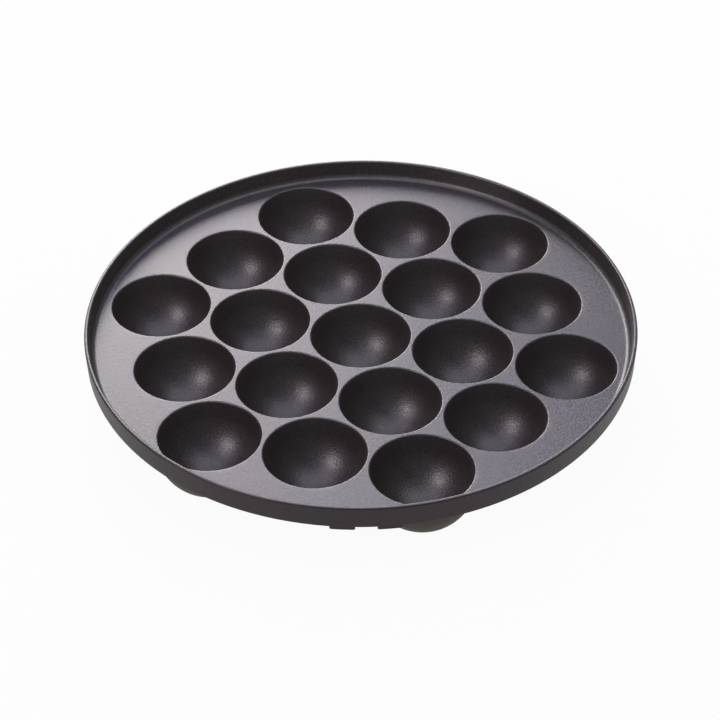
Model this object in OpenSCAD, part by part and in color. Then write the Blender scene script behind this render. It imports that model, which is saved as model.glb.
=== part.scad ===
// Round cast griddle plate with a hexagonal field of round wells for batter balls.
// Millimetres. +Z is up, the table is at Z = 0, and +X runs along the middle row of wells.

/* [Wells] */
// Diameter of the ball that a well shapes
ball_d = 40; // [30:0.5:50]
// Rings of wells round the middle one
well_rings = 2; // [1:1:3]
// Narrowest flat between two neighbouring mouths
web_w = 1.1; // [0.8:0.02:6]
// Radius of the rounded lip of each mouth
lip_r = 0.4; // [0.2:0.05:1.5]
// Depth of a bowl's centre below the deck
neck_h = 3.3; // [2.5:0.1:8]
// Lean of the straight neck above the bowl from upright, in degrees
neck_lean = 10; // [2:0.5:12]
// Wall of a bowl
bowl_wall = 2.3; // [1.5:0.1:4]
// Diameter of the flat foot under each bowl
foot_d = 8; // [4:0.5:12]

/* [Deck and rim] */
// Thickness of the deck
deck_t = 2.2; // [1.5:0.05:4]
// Flat land between the outermost bowl and the rim's fillet
land_w = 0.4; // [0.1:0.1:20]
// Radius of the fillet between the deck and the rim
fillet_r = 2.5; // [0.5:0.1:3]
// Height of the rim above the deck
rim_h = 7.9; // [4:0.1:25]
// Lean of the rim's inner face from upright, in degrees
inner_lean = 8.5; // [2:0.5:30]
// Lean of the rim's outer face from upright, in degrees
outer_lean = 3; // [0:0.5:8]
// Width of the rim's top
rim_top_w = 1.6; // [1.2:0.1:5]
// Rounding of the rim's top edges
rim_edge_r = 0.5; // [0.2:0.05:0.55]

/* [Lugs] */
// Pairs of locating lugs, spread evenly under the rim
lug_pairs = 2; // [1:1:4]
// Direction of the first pair from the middle, in degrees
lug_direction = -75; // [-180:1:180]
// Width of one lug
lug_w = 10; // [4:0.5:20]
// Notch between the two lugs of a pair
notch_w = 8.6; // [4:0.2:20]
// Drop of a lug below the rim
lug_drop = 1.5; // [1:0.1:6]
// Depth of a lug from the rim's outer face towards the middle
lug_depth = 4; // [2:0.1:4]
// Rounding of a lug's lower corners
lug_corner_r = 0.6; // [0.2:0.1:0.9]

/* [Hidden] */
$fn = 96;

// Colours of the smooth coat on the cooking side and of the baked coat outside
coat_colour = [0.22, 0.21, 0.23];
baked_colour = [0.25, 0.23, 0.23];

// Bowl and shell, with the shell cut flat at the table
bowl_r = ball_d / 2;
shell_r = bowl_r + bowl_wall;
bowl_z = sqrt(pow(shell_r, 2) - pow(foot_d / 2, 2));
deck_z = bowl_z + neck_h;
seat_z = deck_z - deck_t;

// Neck: where it starts, where it would reach the deck, and the lip on it, each biting a little into the last
neck_bite = 0.02;
lip_bite = 0.005;
neck_foot = bowl_r * [cos(neck_lean), -sin(neck_lean)] - [neck_bite, 0];
neck_r = neck_foot.x + (neck_h - neck_foot.y) * tan(neck_lean);
lip_run = lip_r / tan(45 + neck_lean / 2) - lip_bite;
mouth_r = neck_r + lip_run;

// Hexagonal field, row by row from the front left
pitch = 2 * mouth_r + web_w;
row_step = pitch * sin(60);
well_centres = [
    for (row = [-well_rings : well_rings])
        for (i = [0 : 2 * well_rings - abs(row)])
            [(i - (2 * well_rings - abs(row)) / 2) * pitch, row * row_step]
];
deck_r = well_rings * pitch + shell_r + land_w;

// Rim: where the fillet meets the leaning inner face, and the radii above and below
rim_z = deck_z + rim_h;
fillet_centre = [deck_r, deck_z + fillet_r];
inner_top_r = deck_r + fillet_r * cos(inner_lean)
    + (rim_h - fillet_r * (1 - sin(inner_lean))) * tan(inner_lean);
outer_top_r = inner_top_r + rim_top_w;
outer_foot_r = outer_top_r - (rim_z - seat_z) * tan(outer_lean);

// Steps in each rounded stretch of the rim's outline
arc_steps = 8;

function well_name(i) = str("well_", i < 9 ? "0" : "", i + 1);
function lug_name(pair, side) = str("lug_", pair, side);
function lug_turn(pair) = lug_direction + (pair - 1) * 360 / lug_pairs;

// Points on an arc from one angle to another
function arc(centre, r, from, to) = [
    for (i = [0 : arc_steps])
        let (a = from + (to - from) * i / arc_steps)
            centre + r * [cos(a), sin(a)]
];

// Directions in which a well has a neighbour
function shared_sides(at) = [
    for (a = [0 : 60 : 300])
        let (beside = at + pitch * [cos(a), sin(a)])
            if (min([for (p = well_centres) norm(p - beside)]) < pitch / 2) a
];

// Outline of one well's share of the deck, seen from above with the well at the origin
module cell_outline(at) {
    intersection() {
        translate(-at)
            circle(deck_r);
        intersection_for (a = shared_sides(at))
            rotate(a)
                translate([-2 * deck_r, -2 * deck_r])
                    square([2 * deck_r + pitch / 2, 4 * deck_r]);
    }
}

// Section of a bowl with its neck and the deck round it, right of the well's axis
module cell_section() {
    difference() {
        union() {
            intersection() {
                translate([0, bowl_z])
                    circle(shell_r);
                square([shell_r, bowl_z]);
            }
            translate([0, bowl_z])
                square([shell_r, neck_h]);
            translate([0, seat_z])
                square([2 * deck_r, deck_t]);
        }
        bowl_section();
        lip_section();
    }
}

// Half of the round hollow with its leaning neck, which starts inside it and runs out past the deck
module bowl_section() {
    top = neck_h + lip_r;
    translate([0, bowl_z]) {
        intersection() {
            circle(bowl_r);
            translate([0, -bowl_r])
                square(bowl_r);
        }
        polygon([[0, 2 * neck_foot.y], neck_foot, [neck_r + lip_r * tan(neck_lean), top], [0, top]]);
    }
}

// What the rounded lip leaves open between the neck and the deck
module lip_section() {
    difference() {
        translate([neck_r - lip_r, deck_z - lip_r * (1 - sin(neck_lean))])
            square([lip_r + lip_run, 2 * lip_r]);
        translate([mouth_r, deck_z - lip_r])
            circle(lip_r);
    }
}

module well(at) {
    color(coat_colour)
        translate(at)
            intersection() {
                rotate_extrude()
                    cell_section();
                linear_extrude(deck_z)
                    cell_outline(at);
            }
}

module rim_wall() {
    inner_edge = [inner_top_r + rim_edge_r * (1 - sin(inner_lean)) / cos(inner_lean), rim_z - rim_edge_r];
    outer_edge = [outer_top_r - rim_edge_r * (1 + sin(outer_lean)) / cos(outer_lean), rim_z - rim_edge_r];
    color(baked_colour)
        rotate_extrude()
            polygon(concat(
                [[deck_r, seat_z], [outer_foot_r, seat_z]],
                arc(outer_edge, rim_edge_r, -outer_lean, 90),
                arc(inner_edge, rim_edge_r, 90, 180 - inner_lean),
                arc(fillet_centre, fillet_r, -inner_lean, -90)
            ));
}

// A lug as seen from outside, hanging from the line Y = 0
module lug_outline() {
    translate([-lug_w / 2, lug_corner_r - lug_drop])
        square([lug_w, lug_drop - lug_corner_r]);
    translate([lug_corner_r - lug_w / 2, -lug_drop])
        square([lug_w - 2 * lug_corner_r, lug_corner_r]);
    for (side = [-1, 1])
        translate([side * (lug_w / 2 - lug_corner_r), lug_corner_r - lug_drop])
            circle(lug_corner_r);
}

module lug(pair, side) {
    offset_w = (side == "a" ? -1 : 1) * (lug_w + notch_w) / 2;
    color(baked_colour)
        rotate(lug_turn(pair) + 90)
            intersection() {
                translate([offset_w, 0, seat_z])
                    rotate([90, 0, 0])
                        linear_extrude(2 * deck_r)
                            lug_outline();
                translate([0, 0, seat_z - lug_drop])
                    difference() {
                        cylinder(h = lug_drop, r = outer_foot_r);
                        translate([0, 0, -lug_drop])
                            cylinder(h = 3 * lug_drop, r = outer_foot_r - lug_depth);
                    }
            }
}

for (i = [0 : len(well_centres) - 1])
    well(well_centres[i]);
rim_wall();
for (pair = [1 : lug_pairs])
    for (side = ["a", "b"])
        lug(pair, side);
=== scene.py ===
"""Looks of a round cast griddle plate with a hexagonal field of wells for batter balls.

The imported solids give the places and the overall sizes. Each well, the rim and each lug is a surface
worked out as whole arrays: a section in radius and height, carried round an axis. Lengths are in metres.
"""

import logging
import math
from dataclasses import dataclass
from enum import Enum

import bpy
import numpy as np
from mathutils import Matrix, Vector


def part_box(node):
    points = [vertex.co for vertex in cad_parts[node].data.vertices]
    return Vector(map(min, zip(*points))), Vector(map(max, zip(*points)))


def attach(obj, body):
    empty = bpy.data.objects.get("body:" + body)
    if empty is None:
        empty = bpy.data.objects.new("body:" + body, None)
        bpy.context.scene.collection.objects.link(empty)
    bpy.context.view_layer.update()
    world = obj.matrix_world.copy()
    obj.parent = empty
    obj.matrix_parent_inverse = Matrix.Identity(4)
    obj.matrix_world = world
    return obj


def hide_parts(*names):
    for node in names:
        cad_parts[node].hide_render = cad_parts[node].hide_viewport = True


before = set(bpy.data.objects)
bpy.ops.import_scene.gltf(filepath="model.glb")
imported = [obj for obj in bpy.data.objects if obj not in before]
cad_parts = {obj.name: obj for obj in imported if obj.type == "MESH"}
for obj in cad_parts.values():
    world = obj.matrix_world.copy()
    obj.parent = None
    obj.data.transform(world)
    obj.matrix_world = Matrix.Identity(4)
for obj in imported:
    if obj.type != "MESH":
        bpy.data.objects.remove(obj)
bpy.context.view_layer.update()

LOG = logging.getLogger("griddle_plate")
BODY = "root"

# Edges that turn more than this stay sharp
SHARP_ANGLE = math.radians(40)


class Slot(Enum):
    """Material slots of the part."""

    NONSTICK = "nonstick_coat"
    BAKED = "baked_coat"


class Coat(Enum):
    """Surfaces of the casting that have a finish of their own."""

    DECK = "deck"
    BOWL = "bowl"
    OUTSIDE = "outside"
    UNDERSIDE = "underside"


Colour = tuple[float, float, float]
CoatSet = dict[Coat, bpy.types.Material]


def headings(angles: np.ndarray) -> np.ndarray:
    """Unit vectors in the plane, one row for each angle in radians."""
    return np.stack([np.cos(angles), np.sin(angles)], axis=1)


def even_turns(steps: int) -> np.ndarray:
    """Angles at even steps round a circle, starting half a turn back."""
    return np.arange(steps) * 2 * math.pi / steps - math.pi


def least_turns(angles: np.ndarray, others: np.ndarray) -> np.ndarray:
    """Smallest turn, the short way round, from each angle to any of the others.

    Args:
        angles: Angles in radians.
        others: Angles in radians that they are compared with.

    Returns:
        Array of turns, one for each angle.
    """
    apart = (angles[:, None] - others[None] + math.pi) % (2 * math.pi) - math.pi
    return np.abs(apart).min(axis=1)


def arc(centre: tuple[float, float], radius: float, start: float, end: float, steps: int) -> np.ndarray:
    """Points on a circle's arc at even angles.

    Args:
        centre: Middle of the circle.
        radius: Radius of the circle.
        start: First angle in radians.
        end: Last angle in radians.
        steps: Number of steps, one fewer than the points.

    Returns:
        Array of points, one row each.
    """
    angles = np.linspace(start, end, steps + 1)
    return np.stack([centre[0] + radius * np.cos(angles), centre[1] + radius * np.sin(angles)], axis=1)


def quads_between_rings(rows: int, columns: int, close_rows: bool) -> np.ndarray:
    """Vertex numbers of the quads between neighbouring rings of a grid that closes round its columns.

    Args:
        rows: Number of rings.
        columns: Number of points in each ring.
        close_rows: Whether the last ring joins the first.

    Returns:
        Array of quads, turned so that rows going outwards and columns going anticlockwise face up.
    """
    row = np.arange(rows if close_rows else rows - 1)[:, None]
    column = np.arange(columns)[None, :]
    row_after = (row + 1) % rows
    column_after = (column + 1) % columns
    corners = [row * columns + column, row_after * columns + column,
               row_after * columns + column_after, row * columns + column_after]
    return np.stack(corners, axis=-1).reshape(-1, 4)


def make_piece(
    name: str,
    points: np.ndarray,
    faces: list[list[int]],
    coats: np.ndarray,
    materials: list[bpy.types.Material],
) -> bpy.types.Object:
    """Put a surface into a new object at the origin, smooth but with its sharp edges kept.

    Args:
        name: Name of the piece.
        points: Array of vertex places.
        faces: Vertex numbers of each face.
        coats: Material number of each face.
        materials: Materials in that order.

    Returns:
        The new object.
    """
    mesh = bpy.data.meshes.new(name)
    mesh.from_pydata(points.tolist(), [], faces)
    mesh.polygons.foreach_set("material_index", np.asarray(coats, dtype=np.int32))
    mesh.shade_smooth()
    mesh.set_sharp_from_angle(angle=SHARP_ANGLE)
    mesh.update()
    piece = bpy.data.objects.new(name, mesh)
    for material in materials:
        mesh.materials.append(material)
    bpy.context.scene.collection.objects.link(piece)
    return piece


def make_revolved(
    name: str,
    rings: np.ndarray,
    ring_coats: np.ndarray,
    materials: list[bpy.types.Material],
) -> bpy.types.Object:
    """Close a stack of rings with a pole at each end and make it a piece.

    The poles lie at the mean of the first and last ring.

    Args:
        name: Name of the piece.
        rings: Array of ring points, shaped rings by columns by three.
        ring_coats: Material number of the band that starts at each ring, and first of the starting pole.
        materials: Materials in that order.

    Returns:
        The new object.
    """
    rows, columns, _ = rings.shape
    points = np.concatenate([rings.reshape(-1, 3), rings[:1].mean(axis=1), rings[-1:].mean(axis=1)])
    first, last = rows * columns, rows * columns + 1
    here = np.arange(columns)
    after = (here + 1) % columns
    end = (rows - 1) * columns
    opening = np.stack([np.full(columns, first), here, after], axis=1)
    closing = np.stack([end + here, np.full(columns, last), end + after], axis=1)
    bands = quads_between_rings(rows, columns, close_rows=False)
    faces = opening.tolist() + bands.tolist() + closing.tolist()
    return make_piece(name, points, faces, np.repeat(ring_coats, columns), materials)


@dataclass(frozen=True)
class PlateSizes:
    """Sizes of the casting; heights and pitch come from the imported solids.

    Attributes:
        pitch: Distance between neighbouring wells.
        deck_z: Height of the deck's top.
        seat_z: Height of the rim's underside.
        rim_z: Height of the rim's top.
        rings: Rings of wells round the middle one.
        bowl_r: Radius of a bowl inside.
        lip_r: Radius of the rounded lip of a mouth.
        neck_lean: Lean of the straight neck above a bowl, in radians.
        bowl_wall: Wall of a bowl.
        foot_r: Radius of the flat foot under a bowl.
        root_r: Radius of the fillets between the bowls underneath.
        land_w: Flat between the outermost bowl and the rim's fillet.
        fillet_r: Radius of the fillet between deck and rim.
        inner_lean: Lean of the rim's inner face, in radians.
        outer_lean: Lean of the rim's outer face, in radians.
        rim_top_w: Width of the rim's top.
        inner_edge_r: Rounding of the rim's inner top edge.
        outer_edge_r: Rounding of the rim's outer top edge.
        seat_edge_r: Rounding of the rim's lower outer edge.
    """

    pitch: float
    deck_z: float
    seat_z: float
    rim_z: float
    rings: int = 2
    bowl_r: float = 0.0200
    lip_r: float = 0.0007
    neck_lean: float = math.radians(8.5)
    bowl_wall: float = 0.0023
    foot_r: float = 0.0040
    root_r: float = 0.0018
    land_w: float = 0.00055
    fillet_r: float = 0.0023
    inner_lean: float = math.radians(7.7)
    outer_lean: float = math.radians(3)
    rim_top_w: float = 0.00165
    inner_edge_r: float = 0.0007
    outer_edge_r: float = 0.00075
    seat_edge_r: float = 0.00025

    @classmethod
    def from_frame(cls) -> "PlateSizes":
        """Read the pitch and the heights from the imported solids.

        Returns:
            The plate's sizes.
        """
        well_low, well_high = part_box("well_10")
        rim_low, rim_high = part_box("rim_wall")
        return cls(pitch=well_high.x - well_low.x, deck_z=well_high.z, seat_z=rim_low.z, rim_z=rim_high.z)

    @property
    def mouth_r(self) -> float:
        """Radius of a mouth at the deck, where its rounded lip ends."""
        lean = self.neck_lean
        neck_h = self.deck_z - self.bowl_z
        neck_r = self.bowl_r * math.cos(lean) + (neck_h + self.bowl_r * math.sin(lean)) * math.tan(lean)
        return neck_r + self.lip_r / math.tan(math.pi / 4 + lean / 2)

    @property
    def shell_r(self) -> float:
        """Radius of a bowl outside."""
        return self.bowl_r + self.bowl_wall

    @property
    def bowl_z(self) -> float:
        """Height of a bowl's centre above the table."""
        return math.sqrt(self.shell_r ** 2 - self.foot_r ** 2)

    @property
    def deck_r(self) -> float:
        """Radius where the deck meets the rim's fillet."""
        return self.rings * self.pitch + self.shell_r + self.land_w

    @property
    def inner_top_r(self) -> float:
        """Radius of the rim's inner face at its top."""
        lean = self.inner_lean
        straight = self.rim_z - self.deck_z - self.fillet_r * (1 - math.sin(lean))
        return self.deck_r + self.fillet_r * math.cos(lean) + straight * math.tan(lean)

    @property
    def outer_top_r(self) -> float:
        """Radius of the rim's outer face at its top."""
        return self.inner_top_r + self.rim_top_w

    @property
    def outer_foot_r(self) -> float:
        """Radius of the rim's outer face at its underside."""
        return self.outer_top_r - (self.rim_z - self.seat_z) * math.tan(self.outer_lean)


class WellField:
    """Places of the wells and the outlines of their shares of the deck.

    Attributes:
        sizes: Sizes of the plate.
        centres: Places of the wells, one row each.
        corner_angles: Angles at which two shares of the deck and the rim meet.
        rim_angles: Angles of the points on the circle that the deck and the rim share.
    """

    HEX_SIDES = 6
    BORDER_STEPS = 96
    RIM_STEPS = 480

    # Least turn between two neighbouring points of an outline
    LEAST_STEP = math.radians(0.35)

    # Share of the pitch within which two places are the same well
    SAME_SPOT = 0.5

    # Share of the pitch within which two wells are neighbours
    NEXT_SPOT = 1.1

    # Distance within which two places touch
    TOUCH = 1e-6

    # Decimal places at which two angles are the same
    ANGLE_DIGITS = 9

    # Least cosine that a distance is divided by
    LEAST_COSINE = 1e-3

    def __init__(self, sizes: PlateSizes) -> None:
        """Lay out the hexagonal field, row by row from the front left.

        Args:
            sizes: Sizes of the plate.
        """
        self.sizes = sizes
        rows = range(-sizes.rings, sizes.rings + 1)
        row_step = math.sin(2 * math.pi / self.HEX_SIDES)
        spots = [
            (i - (2 * sizes.rings - abs(row)) / 2, row * row_step)
            for row in rows
            for i in range(2 * sizes.rings - abs(row) + 1)
        ]
        self.centres = sizes.pitch * np.array(spots)
        self.corner_angles = self._corner_angles()
        self.rim_angles = self._rim_angles()

    def _neighbours(self, centre: np.ndarray) -> np.ndarray:
        """Directions in which a well has a neighbour.

        Args:
            centre: Place of the well.

        Returns:
            Array of angles in radians.
        """
        angles = np.arange(self.HEX_SIDES) * 2 * math.pi / self.HEX_SIDES
        beside = centre + self.sizes.pitch * headings(angles)
        gaps = np.linalg.norm(beside[:, None] - self.centres[None], axis=2).min(axis=1)
        return angles[gaps < self.SAME_SPOT * self.sizes.pitch]

    def _corner_angles(self) -> np.ndarray:
        """Angles round the plate at which two wells' shares of the deck and the rim meet.

        A border between two wells is the line halfway between them. It is followed outwards to the rim,
        and kept where no third well is nearer.

        Returns:
            Sorted array of angles in radians.
        """
        first, second = np.triu_indices(len(self.centres), 1)
        apart = self.centres[second] - self.centres[first]
        close = np.linalg.norm(apart, axis=1) < self.NEXT_SPOT * self.sizes.pitch
        middle = (self.centres[first] + self.centres[second])[close] / 2
        along = np.stack([-apart[close][:, 1], apart[close][:, 0]], axis=1) / self.sizes.pitch
        towards = (middle * along).sum(axis=1)
        reach = np.sqrt(towards ** 2 - (middle ** 2).sum(axis=1) + self.sizes.deck_r ** 2)
        onwards = middle + (reach - towards)[:, None] * along
        backwards = middle - (reach + towards)[:, None] * along
        ends = np.concatenate([onwards, backwards])
        own = np.linalg.norm(ends - np.concatenate([self.centres[first][close]] * 2), axis=1)
        nearest = np.linalg.norm(ends[:, None] - self.centres[None], axis=2).min(axis=1)
        kept = ends[own < nearest + self.TOUCH]
        return np.unique(np.round(np.arctan2(kept[:, 1], kept[:, 0]), self.ANGLE_DIGITS))

    def _rim_angles(self) -> np.ndarray:
        """Angles of the points on the circle that the deck and the rim share.

        Returns:
            Sorted array of angles in radians, with the corners among them.
        """
        even = even_turns(self.RIM_STEPS)
        apart = least_turns(even, self.corner_angles)
        return np.sort(np.concatenate([even[apart > self.LEAST_STEP], self.corner_angles]))

    def border(self, centre: np.ndarray) -> tuple[np.ndarray, np.ndarray, np.ndarray]:
        """Outline of one well's share of the deck, in angles and distances seen from the well.

        Straight stretches lie halfway to a neighbour, at half the pitch over the cosine of the angle from
        its direction. The rest follows the circle where the rim begins, on the points that the rim uses.

        Args:
            centre: Place of the well.

        Returns:
            Angles, distances, and whether each point lies on the rim's circle.
        """
        sizes = self.sizes
        sides = self._neighbours(centre)
        on_rim = sizes.deck_r * headings(self.rim_angles) - centre
        inside = (on_rim @ headings(sides).T).max(axis=1) < sizes.pitch / 2 + self.TOUCH
        rim_turn = np.arctan2(on_rim[inside, 1], on_rim[inside, 0])
        rim_reach = np.linalg.norm(on_rim[inside], axis=1)

        even = even_turns(self.BORDER_STEPS)
        facing = np.cos(even[:, None] - sides[None])
        line_reach = (sizes.pitch / 2 / np.maximum(facing, self.LEAST_COSINE)).min(axis=1)
        towards = centre[0] * np.cos(even) + centre[1] * np.sin(even)
        circle_reach = np.sqrt(towards ** 2 - centre @ centre + sizes.deck_r ** 2) - towards
        keep = line_reach < circle_reach
        if len(rim_turn):
            keep &= least_turns(even, rim_turn) > self.LEAST_STEP
        turn = np.concatenate([even[keep], rim_turn])
        reach = np.concatenate([line_reach[keep], rim_reach])
        by_rim = np.concatenate([np.zeros(keep.sum(), bool), np.ones(len(rim_turn), bool)])
        order = np.argsort(turn)
        return turn[order], reach[order], by_rim[order]


@dataclass
class Well:
    """One bowl with its rounded lip and its share of the deck.

    Attributes:
        name: Name of the solid that it stands for.
        centre: Place of the well on the deck.
        sizes: Sizes of the plate.
        field: The field that the well belongs to.
    """

    name: str
    centre: np.ndarray
    sizes: PlateSizes
    field: WellField

    BOWL_STEPS = 30
    NECK_STEPS = 4
    LIP_STEPS = 8
    ROOT_STEPS = 8
    SHELL_STEPS = 22

    # Rings of the deck as shares of the way from the mouth to the edge
    DECK_SHARES = (0.12, 0.4, 0.7, 1.0)

    # Least flat that a fillet underneath leaves beside it
    LEAST_LAND = 0.00005

    def _cooking_side(self, reach: np.ndarray) -> tuple[np.ndarray, np.ndarray]:
        """Radius and height of the rings from the bowl's bottom up over the lip to the edge of the share.

        The bowl is an arc from its pole to the neck, the neck is a straight line that leans outwards, the
        lip is an arc turned outwards, and the deck is flat.

        Args:
            reach: Distance to the edge of the share, one for each column.

        Returns:
            Radii and heights, shaped rings by columns.
        """
        sizes = self.sizes
        lean = sizes.neck_lean
        bowl = arc((0, sizes.bowl_z), sizes.bowl_r, -math.pi / 2, -lean, self.BOWL_STEPS)[1:]
        lip_centre = (sizes.mouth_r, sizes.deck_z - sizes.lip_r)
        lip = arc(lip_centre, sizes.lip_r, math.pi - lean, math.pi / 2, self.LIP_STEPS)
        neck = bowl[-1] + np.linspace(0, 1, self.NECK_STEPS + 1)[1:-1, None] * (lip[0] - bowl[-1])
        section = np.concatenate([bowl, neck, lip])
        shares = np.array(self.DECK_SHARES)[:, None]
        radii = np.concatenate([np.repeat(section[:, :1], len(reach), axis=1),
                                sizes.mouth_r + shares * (reach - sizes.mouth_r)])
        heights = np.concatenate([np.repeat(section[:, 1:], len(reach), axis=1),
                                  np.full((len(shares), len(reach)), sizes.deck_z)])
        return radii, heights

    def _underside(self, reach: np.ndarray, by_rim: np.ndarray) -> tuple[np.ndarray, np.ndarray]:
        """Radius and height of the rings from the edge of the share back to the foot, seen from below.

        The shell is a circle round the bowl's centre. A fillet circle rolls between it and either the
        deck's underside or the neighbour's shell, whose fillet it meets on the line between them.

        Args:
            reach: Distance to the edge of the share, one for each column.
            by_rim: Whether the edge lies on the rim's circle, where the fillet has less room.

        Returns:
            Radii and heights, shaped rings by columns.
        """
        sizes = self.sizes
        room = np.maximum(reach - sizes.shell_r - self.LEAST_LAND, self.LEAST_LAND)
        root = np.where(by_rim, np.minimum(sizes.root_r, room), sizes.root_r)
        seat = sizes.seat_z - sizes.bowl_z
        ball_under_deck = seat - root
        sphere_reach = np.sqrt((sizes.shell_r + root) ** 2 - np.minimum(ball_under_deck, 0) ** 2)
        ball_r = np.minimum(sphere_reach, reach - self.LEAST_LAND)
        sunk = -np.sqrt(np.maximum((sizes.shell_r + root) ** 2 - ball_r ** 2, 0))
        ball_z = np.where(ball_r < sphere_reach, np.minimum(sunk, ball_under_deck), ball_under_deck)
        contact = np.arctan2(np.maximum(-ball_z, 0), ball_r)

        share = np.linspace(0, 1, self.ROOT_STEPS + 1)[:, None]
        turn = math.pi / 2 + share * (math.pi / 2 - contact)
        fillet_r = ball_r + root * np.cos(turn)
        fillet_z = ball_z + root * np.sin(turn)
        foot = math.asin(sizes.foot_r / sizes.shell_r)
        share = np.linspace(0, 1, self.SHELL_STEPS + 1)[1:, None]
        below = contact + share * (math.pi / 2 - foot - contact)
        radii = np.concatenate([reach[None], fillet_r, sizes.shell_r * np.cos(below),
                                np.full((1, len(reach)), sizes.foot_r / 2)])
        heights = np.concatenate([(ball_z + root)[None], fillet_z, -sizes.shell_r * np.sin(below),
                                  np.full((1, len(reach)), -sizes.bowl_z)])
        return radii, sizes.bowl_z + heights

    def build(self, coats: CoatSet) -> bpy.types.Object:
        """Make the well's piece and set it in its place.

        Args:
            coats: Materials by coat.

        Returns:
            The new piece.
        """
        turn, reach, by_rim = self.field.border(self.centre)
        top_r, top_z = self._cooking_side(reach)
        low_r, low_z = self._underside(reach, by_rim)
        radii = np.concatenate([top_r, low_r])
        heights = np.concatenate([top_z, low_z])
        across = self.centre[0] + radii * np.cos(turn)
        along = self.centre[1] + radii * np.sin(turn)
        rings = np.stack([across, along, heights], axis=-1)
        deck_bands = len(self.DECK_SHARES)
        bands = np.repeat([0, 1, 2], [len(top_r) - deck_bands, deck_bands, len(low_r) + 1])
        materials = [coats[Coat.BOWL], coats[Coat.DECK], coats[Coat.UNDERSIDE]]
        piece = make_revolved(f"{self.name}_surface", rings, bands, materials)
        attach(piece, BODY)
        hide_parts(self.name)
        return piece


@dataclass
class Rim:
    """The upstanding rim, carried round the plate's axis.

    Attributes:
        name: Name of the solid that it stands for.
        sizes: Sizes of the plate.
        field: The field whose border points the rim shares.
    """

    name: str
    sizes: PlateSizes
    field: WellField

    FILLET_STEPS = 48
    ARC_STEPS = 16
    WALL_STEPS = 6

    def _section(self) -> tuple[np.ndarray, int]:
        """Closed section in radius and height, from the fillet's foot over the top and back underneath.

        Arcs make the fillet, both top edges and the lower edge, and straight lines join them.

        Returns:
            Points of the section, and how many of them carry the cooking side's coat.
        """
        s = self.sizes
        inner_lean, outer_lean = s.inner_lean, s.outer_lean
        inner_edge_turn = s.inner_edge_r * (1 - math.sin(inner_lean)) / math.cos(inner_lean)
        outer_edge_turn = s.outer_edge_r * (1 + math.sin(outer_lean)) / math.cos(outer_lean)
        inner_edge = (s.inner_top_r + inner_edge_turn, s.rim_z - s.inner_edge_r)
        outer_edge = (s.outer_top_r - outer_edge_turn, s.rim_z - s.outer_edge_r)
        seat_edge_turn = s.seat_edge_r * (1 - math.sin(outer_lean)) / math.cos(outer_lean)
        seat_edge = (s.outer_foot_r - seat_edge_turn, s.seat_z + s.seat_edge_r)
        fillet_centre = (s.deck_r, s.deck_z + s.fillet_r)
        fillet = arc(fillet_centre, s.fillet_r, -math.pi / 2, -inner_lean, self.FILLET_STEPS)
        inner_top = arc(inner_edge, s.inner_edge_r, math.pi - inner_lean, math.pi / 2, self.ARC_STEPS)
        outer_top = arc(outer_edge, s.outer_edge_r, math.pi / 2, -outer_lean, self.ARC_STEPS)
        low_edge = arc(seat_edge, s.seat_edge_r, -outer_lean, -math.pi / 2, self.ARC_STEPS)
        share = np.linspace(0, 1, self.WALL_STEPS + 1)[1:-1, None]
        inner_wall = fillet[-1] + share * (inner_top[0] - fillet[-1])
        outer_wall = outer_top[-1] + share * (low_edge[0] - outer_top[-1])
        seat = np.array([[s.deck_r, s.seat_z]])
        half_edge = self.ARC_STEPS // 2
        coated = np.concatenate([fillet, inner_wall, inner_top, outer_top[:half_edge]])
        bare = np.concatenate([outer_top[half_edge:], outer_wall, low_edge, seat])
        return np.concatenate([coated, bare]), len(coated)

    def build(self, coats: CoatSet) -> bpy.types.Object:
        """Make the rim's piece.

        Args:
            coats: Materials by coat.

        Returns:
            The new piece.
        """
        section, coated = self._section()
        turn = self.field.rim_angles
        radii = section[:, :1]
        heights = np.repeat(section[:, 1:], len(turn), axis=1)
        rings = np.stack([radii * np.cos(turn), radii * np.sin(turn), heights], axis=-1)
        rows, columns, _ = rings.shape
        faces = quads_between_rings(rows, columns, close_rows=True)
        bands = np.repeat(np.where(np.arange(rows) < coated, 0, 1), columns)
        materials = [coats[Coat.DECK], coats[Coat.OUTSIDE]]
        piece = make_piece(f"{self.name}_surface", rings.reshape(-1, 3), faces.tolist(), bands, materials)
        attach(piece, BODY)
        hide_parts(self.name)
        return piece


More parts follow.
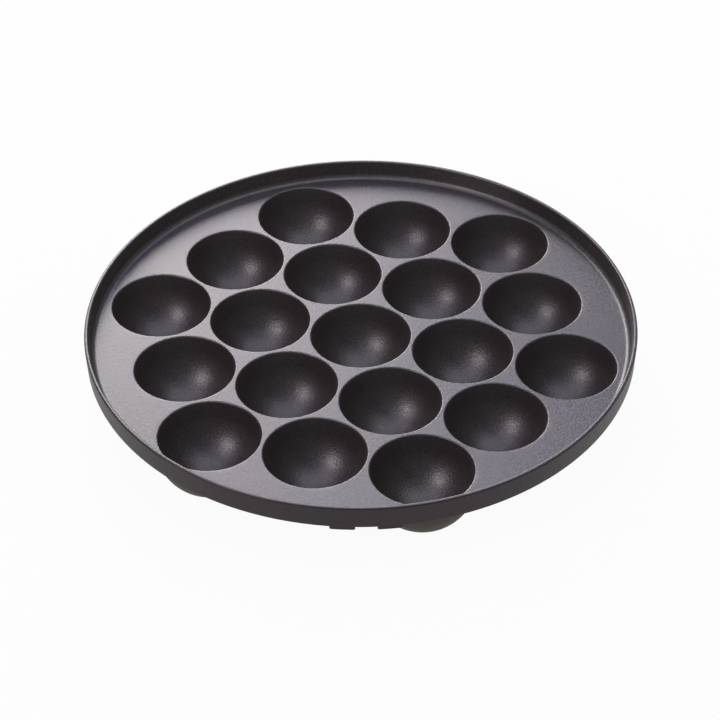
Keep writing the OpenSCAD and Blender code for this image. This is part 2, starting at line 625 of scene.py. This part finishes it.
@dataclass
class Lug:
    """One locating lug under the rim.

    Attributes:
        name: Name of the solid that it stands for.
        turn: Direction of its pair from the plate's middle, in radians.
        side: Which side of the notch it lies on, -1 or 1.
        sizes: Sizes of the plate.
        width: Width of the lug.
        notch_w: Notch between the two lugs of the pair.
        drop: Drop below the rim's underside.
        depth: Depth from the rim's outer face towards the middle.
        corner_r: Rounding of the lower corners.
        edge_r: Rounding of the edges of the outer and inner faces.
        tuck: How far the lug reaches up into the rim, so that no groove shows.
    """

    name: str
    turn: float
    side: int
    sizes: PlateSizes
    width: float = 0.010
    notch_w: float = 0.0086
    drop: float = 0.0015
    depth: float = 0.004
    corner_r: float = 0.0006
    edge_r: float = 0.0003
    tuck: float = 0.0003

    CORNER_STEPS = 6
    EDGE_STEPS = 4
    ACROSS_STEPS = 8

    # Rings of the two faces as shares of the way from the middle to the edge
    FACE_SHARES = (0.35, 0.7)

    def _outline(self) -> np.ndarray:
        """The lug seen from outside, anticlockwise from its upper left corner, about its own middle.

        Returns:
            Array of points.
        """
        half_w = self.width / 2
        half_h = (self.drop + self.tuck) / 2
        low = self.corner_r - half_h
        corner_x = half_w - self.corner_r
        down = 1.5 * math.pi
        left = arc((-corner_x, low), self.corner_r, math.pi, down, self.CORNER_STEPS)
        right = arc((corner_x, low), self.corner_r, down, 2 * math.pi, self.CORNER_STEPS)
        share = np.linspace(-1, 1, self.ACROSS_STEPS + 1)[:, None]
        bottom = share * [corner_x, 0] + [0, -half_h]
        top = -share * [half_w, 0] + [0, half_h]
        return np.concatenate([left, bottom[1:-1], right, top])

    def build(self, coats: CoatSet) -> bpy.types.Object:
        """Make the lug's piece: its outline carried outwards, drawn in along the edges of both faces.

        Args:
            coats: Materials by coat.

        Returns:
            The new piece.
        """
        s = self.sizes
        outline = self._outline()
        half = np.array([self.width, self.drop + self.tuck]) / 2
        quarter = np.linspace(0, math.pi / 2, self.EDGE_STEPS + 1)
        drawn_in = 1 - self.edge_r * (1 - np.sin(quarter))[:, None] / half
        face = np.array(self.FACE_SHARES)[:, None] * drawn_in[:1]
        inner_shares = np.concatenate([face, drawn_in])
        shares = np.concatenate([inner_shares, inner_shares[::-1]])
        set_back = np.concatenate([np.zeros(len(face)), self.edge_r * (1 - np.cos(quarter))])
        inset = np.concatenate([set_back, set_back[::-1]])
        outer = np.repeat([0, 1], len(inner_shares))

        across = (outline[None, :, 0] * shares[:, :1]) + self.side * (self.width + self.notch_w) / 2
        height = outline[None, :, 1] * shares[:, 1:] + s.seat_z + (self.tuck - self.drop) / 2
        outer_face = np.sqrt(s.outer_foot_r ** 2 - across ** 2) - inset[:, None]
        inner_face = np.sqrt((s.outer_foot_r - self.depth) ** 2 - across ** 2) + inset[:, None]
        outwards = np.where(outer[:, None] == 1, outer_face, inner_face)
        ahead = np.array([math.cos(self.turn), math.sin(self.turn)])
        beside = np.array([-math.sin(self.turn), math.cos(self.turn)])
        plan = outwards[..., None] * ahead + across[..., None] * beside
        rings = np.concatenate([plan, height[..., None]], axis=-1)
        bands = np.zeros(len(rings) + 1, int)
        piece = make_revolved(f"{self.name}_surface", rings, bands, [coats[Coat.OUTSIDE]])
        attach(piece, BODY)
        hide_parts(self.name)
        return piece


@dataclass(frozen=True)
class CoatFinish:
    """A dark coat over a casting: colour that drifts a little, satin gloss and a fine sprayed grain.

    Attributes:
        name: Name of the material.
        dark: Darker of the two colours that the coat drifts between.
        light: Lighter of the two colours.
        smooth: Lowest roughness.
        rough: Highest roughness.
        ior: Index of refraction, which sets the strength of the gloss.
        grain_size: Size of the sprayed grain.
        grain_depth: Height of the sprayed grain.
        drift_size: Size of the slow drift in colour.
        gloss_tint: Colour of the gloss seen head on.
        gloss_spread: How far the level of the gloss follows the grain, up and down.
        polish: Weight of a smoother skin on top of the coat.
        polish_rough: Roughness of that skin.
    """

    name: str
    dark: Colour
    light: Colour
    smooth: float
    rough: float
    ior: float
    grain_size: float
    grain_depth: float
    drift_size: float
    gloss_tint: Colour = (1.0, 1.0, 1.0)
    gloss_spread: float = 0.0
    polish: float = 0.0
    polish_rough: float = 0.24

    DRIFT_DETAIL = 3
    GRAIN_DETAIL = 2
    PLAIN_GLOSS = 0.5

    # Values that the grain's noise seldom leaves
    GRAIN_LOW = 0.3
    GRAIN_HIGH = 0.7

    def _noise(self, tree: bpy.types.NodeTree, size: float, detail: float) -> bpy.types.Node:
        """A noise of a given grain on the object's own coordinates.

        Args:
            tree: Node tree of the material.
            size: Size of the grain.
            detail: Number of finer layers.

        Returns:
            The noise node.
        """
        place = tree.nodes.new("ShaderNodeTexCoord")
        noise = tree.nodes.new("ShaderNodeTexNoise")
        noise.inputs["Scale"].default_value = 1 / size
        noise.inputs["Detail"].default_value = detail
        tree.links.new(place.outputs["Object"], noise.inputs["Vector"])
        return noise

    def _follow(
        self,
        tree: bpy.types.NodeTree,
        grain: bpy.types.Node,
        socket: bpy.types.NodeSocket,
        low: float,
        high: float,
    ) -> None:
        """Let a socket follow the grain between two values.

        Args:
            tree: Node tree of the material.
            grain: Noise of the grain.
            socket: Socket that follows it.
            low: Value where the grain is low.
            high: Value where the grain is high.
        """
        spread = tree.nodes.new("ShaderNodeMapRange")
        spread.inputs["From Min"].default_value = self.GRAIN_LOW
        spread.inputs["From Max"].default_value = self.GRAIN_HIGH
        spread.inputs["To Min"].default_value = low
        spread.inputs["To Max"].default_value = high
        tree.links.new(grain.outputs["Fac"], spread.inputs["Value"])
        tree.links.new(spread.outputs["Result"], socket)

    def build(self) -> bpy.types.Material:
        """Make the material.

        Returns:
            The new material.
        """
        material = bpy.data.materials.new(self.name)
        material.use_nodes = True
        tree = material.node_tree
        shader = tree.nodes["Principled BSDF"]
        shader.inputs["IOR"].default_value = self.ior
        shader.inputs["Specular IOR Level"].default_value = self.PLAIN_GLOSS
        shader.inputs["Specular Tint"].default_value = (*self.gloss_tint, 1)
        shader.inputs["Coat Weight"].default_value = self.polish
        shader.inputs["Coat Roughness"].default_value = self.polish_rough

        drift = self._noise(tree, self.drift_size, self.DRIFT_DETAIL)
        colour = tree.nodes.new("ShaderNodeMix")
        colour.data_type = "RGBA"
        colour.inputs["A"].default_value = (*self.dark, 1)
        colour.inputs["B"].default_value = (*self.light, 1)
        tree.links.new(drift.outputs["Fac"], colour.inputs["Factor"])
        tree.links.new(colour.outputs["Result"], shader.inputs["Base Color"])

        grain = self._noise(tree, self.grain_size, self.GRAIN_DETAIL)
        self._follow(tree, grain, shader.inputs["Roughness"], self.smooth, self.rough)
        if self.gloss_spread:
            low = self.PLAIN_GLOSS - self.gloss_spread
            high = self.PLAIN_GLOSS + self.gloss_spread
            self._follow(tree, grain, shader.inputs["Specular IOR Level"], low, high)

        bump = tree.nodes.new("ShaderNodeBump")
        bump.inputs["Strength"].default_value = 1
        bump.inputs["Distance"].default_value = self.grain_depth
        tree.links.new(grain.outputs["Fac"], bump.inputs["Height"])
        tree.links.new(bump.outputs["Normal"], shader.inputs["Normal"])
        tree.links.new(bump.outputs["Normal"], shader.inputs["Coat Normal"])
        return material


@dataclass(frozen=True)
class SoftBox:
    """A large soft lamp that points at the plate.

    Attributes:
        name: Name of the lamp.
        azimuth: Direction from the plate, in degrees from the back towards the right.
        elevation: Height above the horizon, in degrees.
        distance: Distance from the plate.
        width: Width of the lamp.
        height: Height of the lamp.
        power: Power in watts.
        colour: Colour of the light.
        in_gloss: Whether the lamp shows in glossy surfaces.
    """

    name: str
    azimuth: float
    elevation: float
    distance: float
    width: float
    height: float
    power: float
    colour: Colour
    in_gloss: bool = True

    def build(self, target: Vector) -> bpy.types.Object:
        """Hang the lamp.

        Args:
            target: Point that the lamp faces.

        Returns:
            The lamp's object.
        """
        data = bpy.data.lights.new(self.name, "AREA")
        data.shape = "RECTANGLE"
        data.size = self.width
        data.size_y = self.height
        data.energy = self.power
        data.color = self.colour
        turn, rise = math.radians(self.azimuth), math.radians(self.elevation)
        away = Vector((math.sin(turn) * math.cos(rise), math.cos(turn) * math.cos(rise), math.sin(rise)))
        lamp = bpy.data.objects.new(self.name, data)
        lamp.location = target + self.distance * away
        lamp.rotation_mode = "QUATERNION"
        lamp.rotation_quaternion = (-away).to_track_quat("-Z", "Y")
        lamp.visible_glossy = self.in_gloss
        bpy.context.scene.collection.objects.link(lamp)
        return lamp


@dataclass(frozen=True)
class Studio:
    """Plain pale floor, a room with a grey horizon under a dim ceiling, and the photograph's camera.

    Attributes:
        eye: Place of the camera from the middle of the deck's top.
        azimuth: Direction of the camera from the front towards the right, in degrees.
        elevation: Height of the camera above the horizon, in degrees.
        roll: Roll of the camera, in degrees.
        lens: Focal length in millimetres.
        sensor_w: Width of the camera's sensor in millimetres.
        floor_size: Width of the floor.
        floor_gap: Gap between the floor and the feet.
        floor_colour: Colour of the floor's paper.
        floor_white: Share of plain white in the floor as it is seen, the rest being the lit paper.
        horizon: Colour of the room at the horizon.
        ceiling: Colour of the room overhead.
        fade_start: Height on the unit sphere where the horizon starts to fade.
        fade_end: Height on the unit sphere where the ceiling's colour is reached.
    """

    eye: tuple[float, float, float] = (0.21058, -0.82499, 0.69588)
    azimuth: float = 14.35
    elevation: float = 39.8
    roll: float = -0.63
    lens: float = 131.9
    sensor_w: float = 36.0
    floor_size: float = 400.0
    floor_gap: float = 0.0001
    floor_colour: Colour = (0.8, 0.8, 0.8)
    floor_white: float = 0.95
    horizon: Colour = (0.38, 0.38, 0.38)
    ceiling: Colour = (0.09, 0.095, 0.11)
    fade_start: float = 0.05
    fade_end: float = 0.45

    def add_camera(self, deck_centre: Vector) -> None:
        """Set up the camera at the photograph's viewing angle.

        Args:
            deck_centre: Middle of the deck's top.
        """
        turn, rise, roll = (math.radians(a) for a in (self.azimuth, self.elevation, self.roll))
        back = Vector((math.sin(turn) * math.cos(rise), -math.cos(turn) * math.cos(rise), math.sin(rise)))
        level = Vector((math.cos(turn), math.sin(turn), 0))
        upright = back.cross(level)
        right = math.cos(roll) * level + math.sin(roll) * upright
        up = back.cross(right)
        data = bpy.data.cameras.new("photo_camera")
        data.sensor_width = self.sensor_w
        data.lens = self.lens
        camera = bpy.data.objects.new("photo_camera", data)
        axes = Matrix((right, up, back)).transposed()
        camera.matrix_world = Matrix.Translation(deck_centre + Vector(self.eye)) @ axes.to_4x4()
        bpy.context.scene.collection.objects.link(camera)
        bpy.context.scene.camera = camera

    def add_floor(self) -> None:
        """Lay the pale floor, white to the camera and in reflections but still taking a faint shadow."""
        half = self.floor_size / 2
        low = -self.floor_gap
        corners = [(-half, -half, low), (half, -half, low), (half, half, low), (-half, half, low)]
        mesh = bpy.data.meshes.new("floor")
        mesh.from_pydata(corners, [], [(0, 1, 2, 3)])
        material = bpy.data.materials.new("floor_paper")
        material.use_nodes = True
        tree = material.node_tree
        tree.nodes.clear()
        path = tree.nodes.new("ShaderNodeLightPath")
        seen = path.outputs["Is Camera Ray"]
        for ray in ("Is Glossy Ray", "Is Transmission Ray"):
            either = tree.nodes.new("ShaderNodeMath")
            either.operation = "MAXIMUM"
            tree.links.new(seen, either.inputs[0])
            tree.links.new(path.outputs[ray], either.inputs[1])
            seen = either.outputs[0]
        share = tree.nodes.new("ShaderNodeMath")
        share.operation = "MULTIPLY"
        share.inputs[1].default_value = self.floor_white
        tree.links.new(seen, share.inputs[0])
        paper = tree.nodes.new("ShaderNodeBsdfDiffuse")
        paper.inputs["Color"].default_value = (*self.floor_colour, 1)
        glow = tree.nodes.new("ShaderNodeEmission")
        glow.inputs["Strength"].default_value = 1
        mix = tree.nodes.new("ShaderNodeMixShader")
        out = tree.nodes.new("ShaderNodeOutputMaterial")
        tree.links.new(share.outputs[0], mix.inputs["Fac"])
        tree.links.new(paper.outputs["BSDF"], mix.inputs[1])
        tree.links.new(glow.outputs["Emission"], mix.inputs[2])
        tree.links.new(mix.outputs["Shader"], out.inputs["Surface"])
        mesh.materials.append(material)
        floor = bpy.data.objects.new("floor", mesh)
        bpy.context.scene.collection.objects.link(floor)

    def add_world(self) -> None:
        """Surround the plate with a grey horizon that fades to a dim ceiling."""
        world = bpy.data.worlds.new("studio_room")
        world.use_nodes = True
        tree = world.node_tree
        shader = tree.nodes["Background"]
        place = tree.nodes.new("ShaderNodeTexCoord")
        axes = tree.nodes.new("ShaderNodeSeparateXYZ")
        fade = tree.nodes.new("ShaderNodeMapRange")
        fade.interpolation_type = "SMOOTHSTEP"
        fade.inputs["From Min"].default_value = self.fade_start
        fade.inputs["From Max"].default_value = self.fade_end
        tint = tree.nodes.new("ShaderNodeMix")
        tint.data_type = "RGBA"
        tint.inputs["A"].default_value = (*self.horizon, 1)
        tint.inputs["B"].default_value = (*self.ceiling, 1)
        tree.links.new(place.outputs["Generated"], axes.inputs["Vector"])
        tree.links.new(axes.outputs["Z"], fade.inputs["Value"])
        tree.links.new(fade.outputs["Result"], tint.inputs["Factor"])
        tree.links.new(tint.outputs["Result"], shader.inputs["Color"])
        bpy.context.scene.world = world


# Colours that the satin coat of the cooking side drifts between
SATIN_DARK = (0.0285, 0.0225, 0.0215)
SATIN_LIGHT = (0.0355, 0.0285, 0.028)

FINISHES = {
    Coat.DECK: CoatFinish(
        name="satin_deck_coat",
        dark=SATIN_DARK,
        light=SATIN_LIGHT,
        smooth=0.38,
        rough=0.48,
        ior=1.9,
        grain_size=0.0010,
        grain_depth=0.000050,
        drift_size=0.018,
        gloss_spread=0.13,
    ),
    Coat.BOWL: CoatFinish(
        name="satin_bowl_coat",
        dark=SATIN_DARK,
        light=SATIN_LIGHT,
        smooth=0.37,
        rough=0.51,
        ior=1.83,
        grain_size=0.00065,
        grain_depth=0.00014,
        drift_size=0.018,
        gloss_spread=0.16,
        polish=0.34,
    ),
    Coat.OUTSIDE: CoatFinish(
        name="baked_outside_coat",
        dark=(0.0125, 0.0075, 0.0085),
        light=(0.0195, 0.0125, 0.0135),
        smooth=0.40,
        rough=0.50,
        ior=1.42,
        grain_size=0.0009,
        grain_depth=0.00005,
        drift_size=0.012,
        gloss_tint=(1.0, 0.90, 0.96),
    ),
    # Duller coat underneath. Its colour, lighter and warmer than the outside coat's, is partly painted
    # bounce light from the floor under the bulges.
    Coat.UNDERSIDE: CoatFinish(
        name="dull_underside_coat_painted_bounce",
        dark=(0.080, 0.069, 0.054),
        light=(0.104, 0.090, 0.071),
        smooth=0.60,
        rough=0.72,
        ior=1.3,
        grain_size=0.0011,
        grain_depth=0.00006,
        drift_size=0.012,
        gloss_tint=(1.0, 0.97, 0.92),
    ),
}

SOFT_BOXES = (
    SoftBox(
        "back_left_box", azimuth=-26.5, elevation=27.5, distance=1.4,
        width=0.58, height=0.8, power=12.9, colour=(1.0, 0.945, 0.977),
    ),
    SoftBox(
        "back_cool_box", azimuth=0, elevation=53, distance=1.5,
        width=0.5, height=0.5, power=2.0, colour=(0.50, 0.55, 1.0),
    ),
    SoftBox(
        "front_left_box", azimuth=-143, elevation=36, distance=1.4,
        width=0.24, height=0.08, power=5.0, colour=(1.0, 0.90, 0.98),
    ),
    SoftBox(
        "overhead_box", azimuth=-18, elevation=89.9, distance=1.2,
        width=1.8, height=1.0, power=7.0, colour=(0.92, 0.86, 1.0),
    ),
    SoftBox(
        "right_fill", azimuth=90, elevation=30, distance=1.5,
        width=1.0, height=0.8, power=4.0, colour=(1.0, 0.96, 0.98), in_gloss=False,
    ),
)

# Directions of the front and rear pair of lugs, and the side of the notch that each letter stands for
LUG_DIRECTIONS = (math.radians(-75), math.radians(105))
LUG_SIDES = {"a": -1, "b": 1}


def main() -> None:
    """Build the plate and the studio."""
    logging.basicConfig(level=logging.INFO, format="%(name)s: %(message)s")
    bpy.context.scene.view_settings.view_transform = "Standard"
    sizes = PlateSizes.from_frame()
    field = WellField(sizes)
    coats = {coat: finish.build() for coat, finish in FINISHES.items()}

    parts = [Well(f"well_{n:02d}", centre, sizes, field) for n, centre in enumerate(field.centres, 1)]
    parts.append(Rim("rim_wall", sizes, field))
    parts += [
        Lug(f"lug_{pair}{letter}", turn, side, sizes)
        for pair, turn in enumerate(LUG_DIRECTIONS, 1)
        for letter, side in LUG_SIDES.items()
    ]
    for part in parts:
        piece = part.build(coats)
        LOG.info("%s: %d faces", piece.name, len(piece.data.polygons))

    studio = Studio()
    deck_centre = Vector((0, 0, sizes.deck_z))
    studio.add_floor()
    studio.add_world()
    studio.add_camera(deck_centre)
    for box in SOFT_BOXES:
        box.build(deck_centre)


if __name__ == "__main__":
    main()
